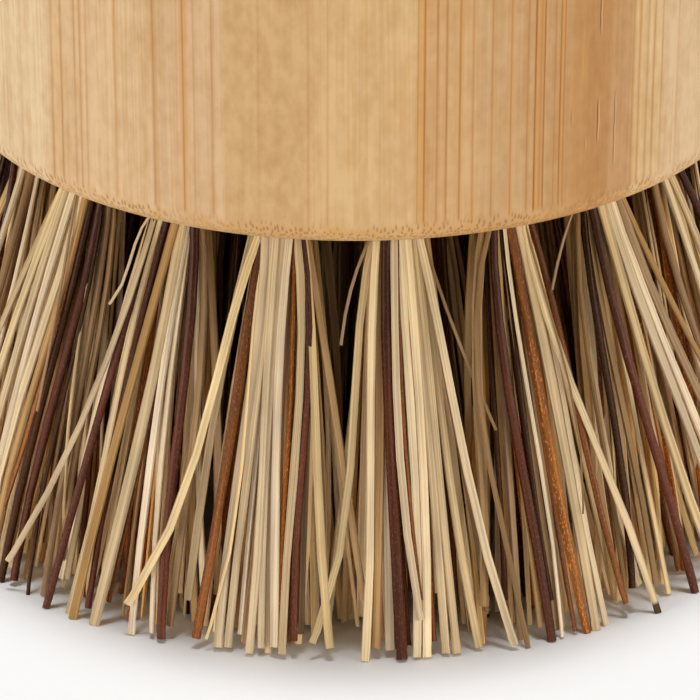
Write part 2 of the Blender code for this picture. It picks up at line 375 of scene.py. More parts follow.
@dataclass(frozen=True)
class BambooFinish:
    """Laminated bamboo: strips side by side, each with its own tone, long fibre bundles that
    end in dots on the rim, and single bold lines, cracks with a painted highlight beside each,
    and scratches.

    A strip is its right-hand edge and its colour. Lines and bands have a middle, a half width
    and a strength, cracks a middle, a lower and an upper end and a half width. Pairs that are
    called levels are where a smooth step starts and ends.
    """

    strips: tuple[tuple[float, Colour], ...] = (
        (-21.5, (240, 209, 165)), (-17.6, (233, 199, 153)), (-11.4, (227, 188, 140)),
        (-7.4, (221, 181, 135)), (-2.45, (214, 171, 117)), (3.7, (220, 179, 125)),
        (7.0, (216, 170, 117)), (8.3, (209, 165, 114)), (10.9, (209, 163, 112)),
        (12.2, (201, 152, 99)), (13.2, (198, 144, 87)), (14.5, (191, 135, 78)),
        (15.8, (199, 149, 98)), (17.6, (224, 186, 135)), (26.0, (223, 186, 140)),
    )
    half_span: float = 26.0
    seam: float = 0.30
    layer_faces: Pair = (-8.0, 8.0)
    layer_shift: float = 0.37
    layer_seam: Triple = (0.07, 0.02, 0.4)
    lines: tuple[Triple, ...] = (
        (-19.2, 0.14, 0.16), (-18.8, 0.12, 0.12), (-17.26, 0.10, 0.34), (-16.69, 0.09, 0.36),
        (-15.88, 0.10, 0.38), (-15.55, 0.09, 0.30), (-15.18, 0.10, 0.26), (-13.50, 0.11, 0.26),
        (-11.30, 0.11, 0.42), (-9.98, 0.08, 0.16), (-9.62, 0.09, 0.42), (-9.02, 0.09, 0.18),
        (-7.99, 0.11, 0.36), (-5.39, 0.12, 0.18), (-2.60, 0.10, 0.18), (-1.50, 0.10, 0.20),
        (3.56, 0.06, 0.30), (3.94, 0.09, 0.58), (4.65, 0.10, 0.40), (5.18, 0.11, 0.56),
        (5.94, 0.10, 0.38), (6.67, 0.12, 0.28), (7.74, 0.10, 0.32), (8.82, 0.09, 0.36),
        (9.76, 0.09, 0.42), (10.19, 0.09, 0.95), (10.50, 0.20, 0.30), (10.70, 0.07, 0.66),
        (11.31, 0.08, 0.34), (11.62, 0.08, 0.70), (11.84, 0.07, 0.52), (12.55, 0.20, 0.12),
        (15.84, 0.12, 0.36), (16.22, 0.09, 0.40), (16.70, 0.09, 0.30), (17.10, 0.09, 0.36),
        (17.58, 0.08, 0.28), (18.56, 0.10, 0.22), (-12.35, 0.10, 0.10),
    )
    bands: tuple[Triple, ...] = (
        (-16.95, 0.16, 0.28), (-13.46, 0.10, 0.30), (-9.60, 0.20, 0.42), (3.80, 0.15, 0.40),
        (5.94, 0.14, 0.20), (8.82, 0.10, 0.24), (10.43, 0.16, 0.42), (11.70, 0.14, 0.26),
        (16.20, 0.22, 0.22),
    )
    cracks: tuple[tuple[float, float, float, float], ...] = (
        (13.82, 28.8, 32.2, 0.055), (14.81, 27.1, 32.4, 0.030), (13.84, 35.4, 39.6, 0.045),
        (12.30, 30.4, 31.8, 0.05), (12.62, 33.4, 34.3, 0.05), (13.10, 28.6, 29.9, 0.05),
    )
    # Painted highlight beside each crack: its offset from the crack in millimetres
    crack_highlight_offset: float = 0.09
    crack_waver: float = 0.14
    crack_taper: float = 1.2
    crack_core: float = 0.4
    front_levels: Pair = (-7.6, -8.4)
    cloudy_from: Pair = (-7.6, -7.2)
    cloudy_to: Pair = (-2.2, -2.7)
    light_share: Triple = (1.12, 1.19, 1.30)
    dark_share: Triple = (0.86, 0.79, 0.68)
    glow_colour: Colour = linear((227, 166, 88))
    core_colour: Colour = linear((170, 108, 48))
    crack_colour: Colour = linear((104, 62, 30))
    # Colour of the painted highlight beside each crack
    crack_highlight_colour: Colour = linear((240, 204, 160))
    end_colour: Colour = linear((216, 164, 94))
    dot_colour: Colour = linear((152, 92, 36))
    sway: Noise = Noise((0.05, 0.05, 0.03))
    sway_width: float = 0.30
    waver: Noise = Noise((0.0, 0.0, 0.8), 2.0)
    blotch: Noise = Noise((0.34, 0.34, 0.13), 3.0)
    mottle: Noise = Noise((1.5, 1.5, 0.9), 3.0)
    band: Noise = Noise((1.6, 1.6, 0.012), 2.0)
    streak: Noise = Noise((6.5, 6.5, 0.09), 2.0)
    fleck: Noise = Noise((5.2, 5.2, 0.36), 1.0, (0.58, 0.74))
    grove: Noise = Noise((0.22, 0.22, 0.22), 1.0, (0.34, 0.54))
    thread: Noise = Noise((2.6, 2.6, 0.006), 0.0)
    fade: Noise = Noise((1.1, 1.1, 0.07))
    knot: Noise = Noise((2.4, 2.4, 1.6), 2.0, (0.40, 0.62))
    bundles_per_mm: float = 4.3
    bundle_levels: Pair = (0.37, 0.18)
    end_levels: Pair = (0.06, 0.42)
    dot_levels: Pair = (0.03, 0.30)
    thread_glow: Pair = (0.56, 0.72)
    thread_core: Pair = (0.66, 0.76)
    thin_levels: Pair = (0.44, 0.28)

    def strip_stops(self) -> list[tuple[float, Colour]]:
        """A ramp's stops for the strips, from x = -half_span at 0 to half_span at 1."""
        stops: list[tuple[float, Colour]] = []
        half = self.half_span
        start = -half
        for end, colour in self.strips:
            low = (start + half) / (2 * half) + self.seam / (4 * half)
            high = (end + half) / (2 * half) - self.seam / (4 * half)
            stops += [(low, linear(colour)), (high, linear(colour))]
            start = end
        return stops

    def peaks(self, graph: Graph, across: Wire, lines: tuple[Triple, ...]) -> tuple[Wire, Wire]:
        """How strongly lines along z show. Each glows from its middle out to twice its half
        width, falling evenly, and has a narrow core, the glow's cube. A Vector Math node works
        out three lines at once.

        Args:
            graph: the material.
            across: the distance along x, in millimetres.
            lines: middle, half width and strength of each, three or a multiple of three.

        Returns:
            The sum of the glows and the sum of the cores.
        """
        spread = graph.node("ShaderNodeCombineXYZ", {}, {0: across, 1: across, 2: across})
        glows, cores = [], []
        for first in range(0, len(lines), 3):
            middle, half, strength = zip(*lines[first:first + 3])
            away = spread.vectors("SUBTRACT", middle).vectors("ABSOLUTE")
            fall = away.vectors("DIVIDE", tuple(-2 * width for width in half))
            glow = fall.vectors("ADD", (1.0, 1.0, 1.0)).vectors("MAXIMUM", (0.0, 0.0, 0.0))
            core = glow.vectors("MULTIPLY", glow).vectors("MULTIPLY", glow)
            for sums, value in ((glows, glow), (cores, core)):
                sums.append(value.vectors("DOT_PRODUCT", strength, output="Value"))
        return sum(glows[1:], glows[0]), sum(cores[1:], cores[0])

    def crack_marks(self, spot: Wire, across: Wire) -> Wire:
        """How strongly the cracks show: thin marks that waver along z and end in points.

        Args:
            spot: the place in millimetres.
            across: the distance along x, in millimetres.

        Returns:
            The sum of the cracks.
        """
        z = spot.parts()[2]
        wavering = across + (self.waver.at(spot) - 0.5) * self.crack_waver
        marks = []
        for middle, low, high, half in self.cracks:
            mark = (wavering - middle).magnitude().rise(half, half * self.crack_core)
            marks.append(mark * z.rise(low, low + self.crack_taper)
                         * z.rise(high, high - self.crack_taper))
        return sum(marks[1:], marks[0])

    def material(self) -> Material:
        """Builds the finish.

        Returns:
            A material in which tone comes from the strip that a point is in, darkened by lines
            and bundles that run along z and lightened or darkened by slow and fine noise. The
            factors in its sums weigh these against each other.
        """
        graph = Graph("laminated_bamboo")
        spot = graph.spot()
        x, y, _ = spot.parts()
        facing = graph.node("ShaderNodeTexCoord", {}, {}, "Normal").parts()[2].magnitude()
        across = x + (self.sway.at(spot) - 0.5) * self.sway_width

        layer = y.above(self.layer_faces[0]) + y.above(self.layer_faces[1])
        front = y.rise(*self.front_levels)
        turn = (across + self.half_span) * (0.5 / self.half_span) + layer * self.layer_shift
        tone = graph.node("ShaderNodeValToRGB", {"stops": self.strip_stops()},
                          {0: turn.maths("FRACT")})

        blotch, streak = self.blotch.at(spot), self.streak.at(spot)
        plain = across.rise(*self.cloudy_from) * across.rise(*self.cloudy_to) * front
        light = (blotch * 1.1 + (self.mottle.at(spot) - 0.5) * (plain * 0.5 + 1.2)
                 + self.band.at(spot) * 0.8 + (streak - 0.5) * (0.9 - plain * 0.7)
                 - 0.25).maths("MAXIMUM", 0.0)
        wood = graph.blend(light.maths("MINIMUM", 1.0), tone.stretch(self.dark_share),
                           tone.stretch(self.light_share))

        bundle = graph.node("ShaderNodeTexVoronoi", {"voronoi_dimensions": "2D"},
                            {"Vector": spot, "Scale": self.bundles_per_mm})
        bundle = bundle.rise(*self.bundle_levels) * (self.grove.at(spot) * 0.6 + 0.4)
        end_grain = facing.rise(*self.end_levels)
        glow, core = self.peaks(graph, across, self.lines)
        wide = self.peaks(graph, across, self.bands)[0]
        thread = self.thread.at(spot)
        on_wall = (1 - end_grain) * (self.fade.at(spot) * 2.0)
        glow = (glow * 0.5 + wide) * front + thread.rise(*self.thread_glow) * (1 - front) * 0.6
        core = core * front * 1.3 + thread.rise(*self.thread_core) * (1 - front) * 0.5
        thin = ((streak.rise(*self.thin_levels) * 0.24 + self.fleck.at(spot) * 0.24)
                * (1 - plain * 0.8) + bundle * 0.05)
        glow = (glow * on_wall + thin * (1 - end_grain)).maths("MINIMUM", 1.0)
        core = (core * on_wall).maths("MINIMUM", 1.0)
        wood = graph.blend(core, graph.blend(glow, wood, self.glow_colour), self.core_colour)

        ends = graph.blend(self.knot.at(spot) * 0.7, tone.shade(0.92 + blotch * 0.14),
                           self.end_colour)
        wood = graph.blend(end_grain, wood, ends)
        wood = graph.blend(bundle * facing.rise(*self.dot_levels) * 0.56, wood, self.dot_colour)
        near, far, strength = self.layer_seam
        seams = (y.magnitude() - self.layer_faces[1]).magnitude().rise(near, far) * strength
        wood = graph.blend(seams, wood, self.core_colour)
        # Painted highlight: a light line just beside each crack
        crack_highlight = self.crack_marks(spot, across - self.crack_highlight_offset) * front
        wood = graph.blend(crack_highlight * 0.45, wood, self.crack_highlight_colour)
        cracks = self.crack_marks(spot, across) * front
        wood = graph.blend(cracks * 0.6, wood, self.crack_colour)

        relief = 0.6 + streak * 0.4 - core * 0.5 - cracks - bundle * end_grain * 0.3 - seams * 0.4
        return graph.finish(
            Base_Color=wood,
            Roughness=0.46 + streak * 0.12 + glow * 0.10,
            Normal=graph.relief(relief, 0.05 * MM, 0.45),
            Specular_IOR_Level=0.28,
        )


@dataclass(frozen=True)
class FibreKind:
    """One kind of fibre: its colour, its width and thickness in millimetres, how round it is,
    its weight in the mix, and how speckled, rough and ridged it is."""

    colour: Colour
    width: float
    thickness: float
    roundness: float
    share: float
    speckle: float
    roughness: float
    ridges: float


class Fibre(Enum):
    """The kinds of fibre in the mix. Those from ORANGE on are coarse and deeply ridged."""

    CREAM = FibreKind((240, 216, 174), 0.52, 0.20, 0.15, 64, 0.00, 0.48, 0.35)
    STRAW = FibreKind((191, 150, 97), 0.46, 0.22, 0.2, 8, 0.03, 0.48, 0.40)
    TAN = FibreKind((170, 138, 99), 0.42, 0.22, 0.3, 5, 0.04, 0.52, 0.45)
    OLIVE = FibreKind((161, 127, 86), 0.38, 0.22, 0.3, 3, 0.04, 0.55, 0.45)
    ORANGE = FibreKind((155, 90, 32), 0.52, 0.34, 0.7, 5, 0.60, 0.34, 0.80)
    RUSSET = FibreKind((145, 88, 47), 0.50, 0.34, 0.8, 6, 0.30, 0.28, 0.75)
    PLUM = FibreKind((96, 50, 35), 0.58, 0.42, 0.9, 6, 0.30, 0.24, 0.90)
    BLACK = FibreKind((62, 30, 4), 0.48, 0.36, 0.9, 5, 0.20, 0.26, 0.80)


# Ridges above the first number make a fibre coarse, roundness below the second gives it crisp
# edges, and its section has so many corners
COARSE_FROM = 0.5
CRISP_BELOW = 0.5
CORNERS = 6


@dataclass(frozen=True)
class FibreFinish:
    """All the fibres' finish. A fibre's own colour, its traits (speckle, roughness, ridges) and
    its place along and across itself come from attributes of its tuft's mesh. Pairs that are
    called levels are where a smooth step starts and ends."""

    vein_colour: Colour = linear((50, 24, 12))
    speck_glint_share: Triple = (2.5, 2.7, 3.4)
    shine: Colour = (1.0, 0.84, 0.66)
    streak: Noise = Noise((2.6, 0.06, 1.0), 1.0, (0.34, 0.66))
    patch: Noise = Noise((0.15, 0.20, 1.0))
    grain: Noise = Noise((4.4, 4.6, 1.0))
    ridge: Noise = Noise((3.6, 0.16, 1.0))
    vein: Noise = Noise((1.1, 0.10, 1.0), 1.0, (0.40, 0.60))
    coarse_levels: Pair = (COARSE_FROM, 0.7)
    edge_shade_levels: Pair = (0.5, 1.0)
    speck_levels: Pair = (0.56, 0.67)

    def material(self) -> Material:
        """Builds the finish.

        Returns:
            A material of the fibre's own colour with long streaks, painted shade along its long
            edges, lighter speckles on the coarse kinds, partly the fibre's own and partly
            painted glints, and fine ridges along the fibre.
        """
        graph = Graph("plant_fibre")
        colour, traits, run = (
            graph.node("ShaderNodeAttribute", {"attribute_name": name}, {}, output)
            for name, output in (("colour", "Color"), ("traits", "Vector"), ("run", "Vector"))
        )
        speckle, roughness, ridges = traits.parts()
        # Painted shade: each fibre darker along its long edges
        edge = run.parts()[0].magnitude().rise(*self.edge_shade_levels)
        grain = self.grain.at(run)
        shaded = colour.shade(0.56 + self.streak.at(run) * 0.38 + self.patch.at(run) * 0.60
                              - edge * 0.12)
        vein = self.vein.at(run) * ridges.rise(*self.coarse_levels)
        shaded = graph.blend(vein * 0.52, shaded, self.vein_colour)
        # Lighter specks: partly the coarse fibres' own speckle, partly painted glints
        shaded = graph.blend(grain.rise(*self.speck_levels) * speckle, shaded,
                             colour.stretch(self.speck_glint_share))
        height = self.ridge.at(run) * ridges + grain * (speckle * 1.1 + 0.12)
        return graph.finish(
            Base_Color=shaded,
            Roughness=roughness + (grain - 0.5) * 0.2,
            Normal=graph.relief(height, 0.06 * MM, 0.6),
            Specular_IOR_Level=0.22,
            Specular_Tint=self.shine,
        )


@dataclass(frozen=True)
class SteelFinish:
    """Cut flat wire: bright steel brushed along its length."""

    colour: Colour = linear((198, 198, 194))
    scratch_colour: Colour = linear((160, 158, 152))
    scratch: Noise = Noise((1.2, 1.2, 22.0), 2.0)

    def material(self) -> Material:
        """Builds the finish, with scratches from noise stretched along the wire."""
        graph = Graph("cut_flat_wire")
        scratch = self.scratch.at(graph.spot())
        tone = graph.blend(scratch, self.colour, self.scratch_colour)
        return graph.finish(Base_Color=tone, Metallic=1.0, Roughness=0.28 + scratch * 0.16,
                            Normal=graph.relief(scratch, 0.01 * MM, 0.3))


@dataclass(frozen=True)
class BambooBody:
    """The body: one turned piece of bamboo, drilled for its tufts. Sizes in metres."""

    face_height: float = 24.2 * MM
    head_radius: float = 25.0 * MM
    wall_height: float = 18.0 * MM
    face_round: float = 2.0 * MM
    shoulder_round: float = 5.0 * MM
    neck_radius: float = 14.5 * MM
    neck_hollow: float = 6.0 * MM
    knob_radius: float = 21.0 * MM
    knob_round: float = 8.0 * MM
    steps: int = 320
    wall_rows: int = 6
    arc_step: float = math.radians(4)
    crease: float = math.radians(35)

    def arc(self, centre: Pair, radius: float, start: float, end: float) -> np.ndarray:
        """Points of an arc: the centre plus the radius times cosine and sine of an angle that
        goes evenly from start to end."""
        turn = np.linspace(start, end, max(2, round(abs(end - start) / self.arc_step)) + 1)
        return np.stack([centre[0] + radius * np.cos(turn),
                         centre[1] + radius * np.sin(turn)], -1)

    def outline(self) -> np.ndarray:
        """The turned outline, from the knob's top to the bristle face.

        Returns:
            Radius and height of each point. Shoulder, neck and knob are arcs that touch: their
            centres lie as far apart as their radii add up to.
        """
        shoulder = (self.head_radius - self.shoulder_round, self.face_round + self.wall_height)
        neck_out = self.neck_radius + self.neck_hollow
        reach = self.shoulder_round + self.neck_hollow
        neck = (neck_out, shoulder[1] + math.sqrt(reach ** 2 - (neck_out - shoulder[0]) ** 2))
        knob_out = self.knob_radius - self.knob_round
        reach = self.neck_hollow + self.knob_round
        knob = (knob_out, neck[1] + math.sqrt(reach ** 2 - (neck_out - knob_out) ** 2))
        to_neck = math.atan2(neck[1] - shoulder[1], neck[0] - shoulder[0])
        from_knob = math.atan2(neck[1] - knob[1], neck[0] - knob[0])
        wall = np.linspace(self.face_round + self.wall_height, self.face_round,
                           self.wall_rows + 2)[1:-1]
        points = np.concatenate([
            self.arc(knob, self.knob_round, math.pi / 2, from_knob),
            self.arc(neck, self.neck_hollow, from_knob + math.pi, to_neck + math.pi)[1:],
            self.arc(shoulder, self.shoulder_round, to_neck, 0.0)[1:],
            np.stack([np.full(self.wall_rows, self.head_radius), wall], -1),
            self.arc((self.head_radius - self.face_round, self.face_round), self.face_round,
                     0.0, -math.pi / 2),
        ])
        return points + np.array([0.0, self.face_height])

    def turned(self) -> Mesh:
        """The undrilled body: radius and height of the outline's point i, turned to angle j, is
        (radius cos, radius sin, height), and one point on the axis closes each end."""
        outline = self.outline()
        rows, steps = len(outline), self.steps
        angle = np.arange(steps) * (2 * math.pi / steps)
        radius, height = outline[:, 0, None], outline[:, 1, None]
        grid = np.stack([radius * np.cos(angle), radius * np.sin(angle),
                         np.broadcast_to(height, (rows, steps))], -1).reshape(-1, 3)
        poles = np.array([[0.0, 0.0, outline[0, 1]], [0.0, 0.0, outline[-1, 1]]])
        walls = round_walls(rows, steps)
        top, end = np.arange(steps), (rows - 1) * steps + np.arange(steps)
        caps = [np.stack([np.full(steps, rows * steps), top, np.roll(top, -1)], -1),
                np.stack([np.full(steps, rows * steps + 1), np.roll(end, -1), end], -1)]
        mesh = bpy.data.meshes.new("bamboo_turned")
        mesh.from_pydata(np.concatenate([grid, poles]).tolist(), [],
                         walls.tolist() + caps[0].tolist() + caps[1].tolist())
        mesh.shade_smooth()
        return mesh

    def build(self, layout: "TuftLayout", finish: Material) -> Object:
        """Turns and drills the body.

        Args:
            layout: where the holes are.
            finish: the bamboo.

        Returns:
            The piece.
        """
        body = placed("turned_bamboo", self.turned())
        body.data.materials.append(finish)
        drills = placed("drills", layout.drills())
        cut = body.modifiers.new("drilled", "BOOLEAN")
        cut.operation = "DIFFERENCE"
        cut.solver = "EXACT"
        cut.object = drills
        depsgraph = bpy.context.evaluated_depsgraph_get()
        drilled = bpy.data.meshes.new_from_object(body.evaluated_get(depsgraph))
        body.modifiers.clear()
        body.data = drilled
        bpy.data.objects.remove(drills)
        drilled.set_sharp_from_angle(angle=self.crease)
        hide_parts("bamboo_body")
        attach(body, "root")
        return body


@dataclass(frozen=True)
class Ring:
    """One ring of tufts: its name, how many, the first one's angle in degrees, and how many
    fibres each has."""

    name: str
    count: int
    first: float
    fibres: int


@dataclass(frozen=True)
class TuftLayout:
    """Where the tufts stand: rings of holes that share the face evenly and lean outwards."""

    body: BambooBody
    rings: tuple[Ring, ...] = (
        Ring("outer", 20, 6.8, 56), Ring("middle", 12, 15.8, 50),
        Ring("inner", 6, 30.8, 44), Ring("centre", 1, 0.0, 44),
    )
    hole_radius: float = 2.0 * MM
    hole_depth: float = 9.0 * MM
    rim_margin: float = 0.5 * MM
    overhang: float = 1.6 * MM
    drill_sides: int = 28
    overrun: float = 2.0 * MM

    @property
    def outer_radius(self) -> float:
        """Radius of the outer ring at the face."""
        body = self.body
        return body.head_radius - body.face_round - self.rim_margin - self.hole_radius

    @property
    def flare(self) -> float:
        """How many times wider a ring is at its tips than at the face."""
        return (self.body.head_radius + self.overhang) / self.outer_radius

    def frame_of(self, ring: int, number: int) -> Matrix:
        """A hole's frame: origin in its mouth, Z up the hole, X away from the brush's axis."""
        wide = self.outer_radius * (1 - ring / (len(self.rings) - 1))
        lean = math.atan2((self.flare - 1) * wide, self.body.face_height)
        angle = math.radians(self.rings[ring].first) + 2 * math.pi * number / self.rings[ring].count
        return (Matrix.Rotation(angle, 4, "Z")
                @ Matrix.Translation((wide, 0.0, self.body.face_height))
                @ Matrix.Rotation(-lean, 4, "Y"))

    def holes(self) -> list[tuple[int, int, Matrix]]:
        """Ring, number and frame of each hole."""
        return [(ring, number, self.frame_of(ring, number))
                for ring, rings in enumerate(self.rings) for number in range(rings.count)]

    def label(self, ring: int, number: int) -> str:
        """The end of a hole's node names."""
        rings = self.rings[ring]
        return rings.name if rings.count == 1 else f"{rings.name}_{number + 1:02d}"

    def drills(self) -> Mesh:
        """All the drills in one mesh: each is a prism of two rings of points, (radius cos,
        radius sin) at the hole's bottom and below the face, in its hole's frame."""
        side = np.arange(self.drill_sides)
        angle = side * (2 * math.pi / self.drill_sides)
        ring = np.stack([np.cos(angle), np.sin(angle)], -1) * self.hole_radius
        prism = np.concatenate([np.column_stack([ring, np.full(self.drill_sides, height)])
                                for height in (-self.overrun, self.hole_depth)])
        after = np.roll(side, -1)
        walls = np.stack([side, after, after + self.drill_sides, side + self.drill_sides], -1)
        points, faces = [], []
        for index, (_, _, hole) in enumerate(self.holes()):
            turned = np.array(hole.to_3x3())
            points.append(prism @ turned.T + np.array(hole.translation))
            base = index * len(prism)
            faces += (walls + base).tolist()
            faces += [(side[::-1] + base).tolist(), (side + self.drill_sides + base).tolist()]
        mesh = bpy.data.meshes.new("drills")
        mesh.from_pydata(np.concatenate(points).tolist(), [], faces)
        return mesh


@dataclass
class Strands:
    """Some fibres of one tuft, as whole arrays: the path of each, its kind, its width as a
    share of the kind's, its roll in radians, at each point of its path how much of the kind's
    red, green and blue it has, and how much lighter or darker chance may make it."""

    path: np.ndarray
    kinds: np.ndarray
    width: np.ndarray
    roll: np.ndarray
    tone: np.ndarray
    variety: np.ndarray

    def joined(self, other: "Strands") -> "Strands":
        """These and other's fibres together."""
        pairs = zip(vars(self).values(), vars(other).values())
        return Strands(*(np.concatenate(pair) for pair in pairs))

    def trait(self, name: str) -> np.ndarray:
        """One number of each fibre's kind."""
        return np.array([getattr(kind.value, name) for kind in self.kinds])

    @property
    def coarse(self) -> np.ndarray:
        """Which fibres are of a coarse kind."""
        return self.trait("ridges") > COARSE_FROM


@dataclass(frozen=True)
class SeenFibre:
    """A fibre that the camera sees from rim to tip: its kind and width in pixels, how far it
    lies behind the tuft's front in millimetres, where it leaves the rim, and the pixels that
    it passes down to its tip."""

    kind: Fibre
    width: float
    inset: float
    rim: float
    places: tuple[float, ...]

    @classmethod
    def of(cls, row: tuple[Fibre | float, ...]) -> "SeenFibre":
        """Reads a row of SEEN: the pixels' x and y end it, one after the other."""
        return cls(*row[:4], row[4:])


# The fibre that leaves the rim at this pixel has a burnt end
BURNT_AT = 528
